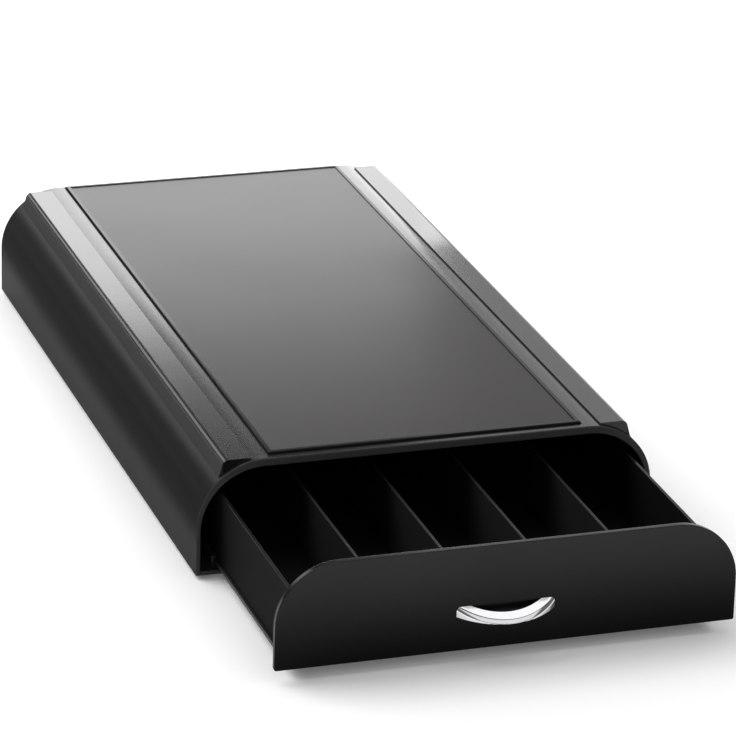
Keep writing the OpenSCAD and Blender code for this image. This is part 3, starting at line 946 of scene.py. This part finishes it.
def apply_finish(finish, slot):
    """Puts the finish on every piece of its slot, and on the slot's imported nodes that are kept."""
    nodes = [frame["nodes"][part["node"]] for part in frame["record"]["subparts"]
             if part["material_slot"] == slot]
    pieces = finished[slot] + [node for node in nodes if not node.hide_render]
    for obj in pieces:
        obj.data.materials.clear()
        obj.data.materials.append(finish.material)
    print(f"{slot}: {len(pieces)} pieces")


# %% [markdown]
# Moulded satin plastic: a nearly black colour that shifts a little, soft clouds in the roughness, a faint
# wave like the skin of an orange and a very fine grain. Some mouldings also have a clear, smooth skin whose
# strength changes with height. On the shell it fades half-way up the side and is strongest on the flat top, on
# the front it grows from the bottom to the top, and of the tray only the rim has it. The shell's front lip face
# is painted paler, as painted light on that face, and it is also rougher and without the skin.

# %% Satin plastics
CLOUD_SIZE = 60 * MM
SMEAR_SIZE = 14 * MM
WAVE_SIZE = 9 * MM
SPECKLE_SIZE = 0.35 * MM
SKIN_ROUGHNESS = 0.2
# The front lip face and its round edge, where the shell's light colour is painted on as painted light.
LIP_LIGHT_FROM = LIP_Y + 0.2 * MM
LIP_LIGHT_TO = LIP_Y + 0.7 * MM


def satin(name, slot, dark, light, smooth, rough, grain, wave, specular, side=None, skin=None, painted_lip_light=False):
    """A moulded satin plastic between two colours and two roughnesses, with two heights of relief. side is
    between which distances from the middle it turns rougher, and by how much. skin is the clear skin's
    strength at the bottom, followed by the heights between which it changes, and by how much. With the
    painted lip light on, the light colour is painted on the front lip face only, as painted light, and that
    face is also rougher and without the skin."""
    finish = Finish(name, Specular_IOR_Level=specular, Coat_Roughness=SKIN_ROUGHNESS)
    clouds = finish.noise(CLOUD_SIZE, detail=3)
    smears = finish.noise(SMEAR_SIZE, detail=2)
    speckle = finish.noise(SPECKLE_SIZE, detail=2)
    spread = rough - smooth
    roughness = clouds * (0.7 * spread) + smears * (0.3 * spread) + smooth
    if side:
        start, end, change = side
        roughness = roughness + finish.spot("X").size().ramp(start, end) * change
    sheen, *zones = skin or (0.0,)
    for start, end, change in zones:
        sheen = finish.spot("Z").ramp(start, end) * change + sheen
    # The lip's front face gets the light colour, which is painted light on that face. It is also made rougher
    # and loses the skin.
    if painted_lip_light:
        lip_light_mask = 1 - finish.spot("Y").ramp(LIP_LIGHT_FROM, LIP_LIGHT_TO)
        finish.colour(dark, light, lip_light_mask * (clouds * 0.2 + speckle * 0.2 + 0.8))
        roughness = roughness + lip_light_mask * 0.3
        sheen = (1 - lip_light_mask) * sheen
    else:
        finish.colour(dark, light, clouds * 0.6 + speckle * 0.4)
    if skin:
        finish.drive("Coat Weight", sheen * (clouds * 0.3 + 0.85))
    finish.drive("Roughness", roughness)
    finish.bump(speckle * grain + finish.noise(WAVE_SIZE, detail=1) * wave)
    apply_finish(finish, slot)


# The shell's light colour is painted light, and it goes only on the front lip face.
satin("satin shell", "shell_plastic", dark=(0.011, 0.011, 0.0113), light=(0.050, 0.050, 0.051),
      smooth=0.4, rough=0.5, grain=2e-6, wave=3e-6, specular=0.03, side=(104 * MM, 113.5 * MM, 0.30),
      skin=(0.14, (14 * MM, 30 * MM, -0.13), (38 * MM, 50 * MM, 0.20), (55 * MM, 58 * MM, 0.57)), painted_lip_light=True)
satin("satin rail", "rail_plastic", dark=(0.006, 0.006, 0.0063), light=(0.010, 0.010, 0.0103),
      smooth=0.16, rough=0.22, grain=1e-6, wave=3e-6, specular=0.40, side=(101.7 * MM, 102.4 * MM, 0.55))
satin("satin tray", "tray_plastic", dark=(0.005, 0.005, 0.0053), light=(0.009, 0.009, 0.0093),
      smooth=0.65, rough=0.75, grain=2.5e-6, wave=4e-6, specular=0.03,
      skin=(0.0, (TRAY_TOP - 0.4 * MM, TRAY_TOP - 0.2 * MM, 0.4)))
satin("satin front", "front_plastic", dark=(0.003, 0.003, 0.0033), light=(0.006, 0.006, 0.0063),
      smooth=0.17, rough=0.25, grain=2e-6, wave=3e-6, specular=0.04, skin=(0.0, (4 * MM, 62 * MM, 0.60)))
satin("satin divider", "divider_plastic", dark=(0.012, 0.012, 0.0123), light=(0.018, 0.018, 0.0183),
      smooth=0.35, rough=0.45, grain=2.5e-6, wave=3e-6, specular=0.3)

# %% [markdown]
# The parts inside are duller: their mould was left sandblasted, so the grain is coarser and the mirror image
# is gone. The feet are soft rubber with a dusty, uneven surface.

# %% Dull plastics and rubber
def dull(name, slot, dark, light, rough, pebble, grain):
    """A sandblasted plastic or a rubber. pebble is how wide its grain is and grain how high."""
    finish = Finish(name, Specular_IOR_Level=0.4)
    pebbles = finish.cells(pebble)
    clouds = finish.noise(30 * MM, detail=3)
    finish.colour(dark, light, clouds * 0.7 + pebbles * 0.3)
    finish.drive("Roughness", clouds * 0.1 + rough)
    finish.bump(pebbles * grain)
    apply_finish(finish, slot)


dull("inner plastic", "inner_plastic", dark=(0.010, 0.010, 0.010), light=(0.016, 0.016, 0.016),
     rough=0.5, pebble=0.9 * MM, grain=1.2e-5)
dull("runner plastic", "runner_plastic", dark=(0.014, 0.014, 0.014), light=(0.022, 0.022, 0.022),
     rough=0.42, pebble=0.8 * MM, grain=8e-6)
dull("foot rubber", "foot_rubber", dark=(0.008, 0.008, 0.008), light=(0.016, 0.015, 0.014),
     rough=0.65, pebble=0.7 * MM, grain=1.5e-5)

# %% [markdown]
# The pad's field is firm rubber of a warm dark grey with a fine pebbled texture. Its rim is smooth and more
# neutral. One material does both: the distance to the pad's edge, from the place on the piece, tells them
# apart.

# %% Pad rubber
pad_finish = Finish("grip rubber", Specular_IOR_Level=0.11)
pad_centre = (pad_low + pad_high) / 2
pad_half = (pad_high - pad_low) / 2
from_middle_x = (pad_finish.spot("X") - pad_centre.x).size()
from_middle_y = (pad_finish.spot("Y") - pad_centre.y).size()
beyond_x = from_middle_x - (pad_half.x - PAD_RIM)
beyond_y = from_middle_y - (pad_half.y - PAD_RIM)
rim = beyond_x.largest(beyond_y).above(0.0)
field = 1 - rim
pebbles = pad_finish.cells(0.55 * MM)
dust = pad_finish.noise(0.28 * MM, detail=2)
clouds = pad_finish.noise(70 * MM, detail=3)
pad_finish.colour((0.018, 0.0158, 0.0148), (0.011, 0.011, 0.0113), rim)
pad_finish.drive("Roughness", field * (clouds * 0.05 + dust * 0.06 + 0.24) + rim * 0.2)
pad_finish.bump(field * (pebbles * 1e-5 + dust * 6e-6))
apply_finish(pad_finish, "pad_rubber")

# %% [markdown]
# Chrome plating mirrors the room almost sharply. A little variation in its roughness and a faint wave keep
# it from looking like a computer's mirror. The screws are zinc-plated steel, turned on a lathe, so they are
# rougher and slightly mottled.

# %% Metals
def metal(name, slot, dark, light, smooth, rough, mottle_size, wave):
    """A plated metal. Its waves are twice as wide as its mottle, and wave is how high they are."""
    finish = Finish(name, Metallic=1.0)
    mottle = finish.noise(mottle_size, detail=3)
    finish.colour(dark, light, mottle)
    finish.drive("Roughness", mottle * (rough - smooth) + smooth)
    finish.bump(finish.noise(mottle_size * 2, detail=1) * wave)
    apply_finish(finish, slot)


metal("chrome plating", "handle_chrome", dark=(0.76, 0.76, 0.77), light=(0.84, 0.84, 0.85),
      smooth=0.05, rough=0.12, mottle_size=3 * MM, wave=1.2e-5)
metal("zinc plating", "screw_steel", dark=(0.42, 0.42, 0.43), light=(0.6, 0.6, 0.61),
      smooth=0.28, rough=0.45, mottle_size=0.8 * MM, wave=4e-6)

# %% [markdown]
# ## Floor and light
#
# The floor is plain and white and reaches far beyond the picture, so that there is no horizon. Where it falls
# just short of white, a faint glow that only the camera and mirror images see lifts it. The object's shadow
# stays on it.

# %% Floor
FLOOR_SIZE = 40
FLOOR_GLOW = 0.1

bpy.ops.object.select_all(action="DESELECT")
bpy.ops.mesh.primitive_plane_add(size=FLOOR_SIZE, location=(0, 0, 0))
floor = bpy.context.object
floor.name = "floor"
floor_finish = Finish("pale floor", Roughness=0.9, Specular_IOR_Level=0.0)
floor_finish.shader.inputs["Base Color"].default_value = (0.97, 0.97, 0.97, 1)
floor_finish.shader.inputs["Emission Color"].default_value = (1, 1, 1, 1)
rays = floor_finish.node("ShaderNodeLightPath", {}, {}).outputs
seen = (Signal(floor_finish, rays["Is Camera Ray"]) + Signal(floor_finish, rays["Is Glossy Ray"])
        + Signal(floor_finish, rays["Is Transmission Ray"]))
floor_finish.drive("Emission Strength", seen.above(0.5) * FLOOR_GLOW)
floor.data.materials.append(floor_finish.material)

# %% [markdown]
# The overhead lamp gives the plain level of light. The key lamp behind on the left and the big front lamp
# shape the panel and the handle. Three low lamps behind the object are there for their mirror images: the
# satin top shows them as the bright band that fades towards the front, along the rails and across the pad.

# %% Lamps
def lamp(name, place, target, width, height, radiance):
    """A soft rectangular lamp that points at the target. Radiance 1 looks as bright as white paper."""
    data = bpy.data.lights.new(name, "AREA")
    data.shape = "RECTANGLE"
    data.size, data.size_y = width, height
    data.energy = radiance * math.pi * width * height
    obj = bpy.data.objects.new(name, data)
    bpy.context.scene.collection.objects.link(obj)
    away = (Vector(place) - Vector(target)).normalized()
    turn = away.to_track_quat("Z", "Y").to_matrix().to_4x4()
    obj.matrix_world = Matrix.Translation(place) @ turn
    obj.visible_camera = False
    print(f"{name}: {data.energy:.1f} W")


lamp("overhead lamp", (1.6, 0.6, 4.4), (1.6, 0.6, 0), width=6.0, height=5.0, radiance=1.06)
lamp("key lamp", (-1.9, 1.1, 2.4), (0.0, 0.0, 0.0), width=2.4, height=2.4, radiance=4.2)
lamp("front lamp", (0.6, -3.2, 1.9), (0.0, -0.25, 0.1), width=5.0, height=3.2, radiance=0.75)
lamp("left lamp", (-1.02, 2.70, 1.15), (-0.1, 0.05, 0.055), width=0.85, height=1.1, radiance=2.0)
lamp("rear lamp", (0.09, 0.57, 0.155), (0.09, 0.0, 0.155), width=0.34, height=0.24, radiance=4.2)
lamp("right lamp", (0.57, 0.57, 0.27), (0.57, 0.0, 0.27), width=0.66, height=0.5, radiance=1.0)

# %% [markdown]
# The room itself is a plain, weak white light from all sides. The Standard view keeps white really white.

# %% Room
ROOM_LIGHT = 0.14

world = bpy.data.worlds.new("room")
world.use_nodes = True
room = world.node_tree.nodes["Background"]
room.inputs["Color"].default_value = (1, 1, 1, 1)
room.inputs["Strength"].default_value = ROOM_LIGHT
bpy.context.scene.world = world
bpy.context.scene.view_settings.view_transform = "Standard"
print("room light", ROOM_LIGHT)
